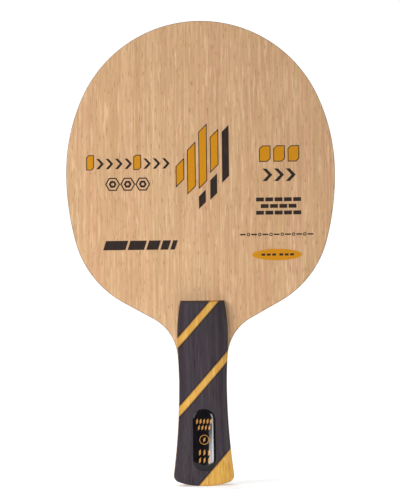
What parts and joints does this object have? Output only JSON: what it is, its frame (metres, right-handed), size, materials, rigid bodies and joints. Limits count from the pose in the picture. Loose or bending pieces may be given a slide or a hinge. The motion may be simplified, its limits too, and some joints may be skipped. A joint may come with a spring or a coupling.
{
  "type": "table tennis paddle",
  "caption": "Bare laminated wooden racket with a rounded head and a flared handle of striped dark and yellow wood, with an oval badge near the butt.",
  "frame": {"origin": "middle of the butt's lowest point, on the middle plane of the blade", "axes": "+Z from the butt to the top of the head, -Y out of the front face, which carries the badge, +X to the right seen from the front"},
  "size_m": [0.15, 0.025, 0.259],
  "materials": {
    "face_veneer": "satin",
    "middle_veneer": "satin",
    "core_wood": "matte",
    "carbon_ply": "matte",
    "dark_wood": "satin",
    "yellow_wood": "satin",
    "badge_plate": "gloss",
    "badge_dome": "gloss",
    "yellow_ink": "satin",
    "dark_ink": "satin",
    "gold_ink": "gloss"
  },
  "bodies": {
    "root": {"front_face_veneer": "face_veneer", "front_carbon_ply": "carbon_ply", "front_middle_veneer": "middle_veneer", "core_ply": "core_wood", "rear_middle_veneer": "middle_veneer", "rear_carbon_ply": "carbon_ply", "rear_face_veneer": "face_veneer", "front_upper_dark_wood": "dark_wood", "front_upper_stripe": "yellow_wood", "front_middle_dark_wood": "dark_wood", "front_lower_stripe": "yellow_wood", "front_lower_dark_wood": "dark_wood", "front_yellow_corner": "yellow_wood", "rear_upper_dark_wood": "dark_wood", "rear_upper_stripe": "yellow_wood", "rear_middle_dark_wood": "dark_wood", "rear_lower_stripe": "yellow_wood", "rear_lower_dark_wood": "dark_wood", "rear_yellow_corner": "yellow_wood", "badge_plate": "badge_plate", "badge_dome": "badge_dome"}
  },
  "joints": []
}
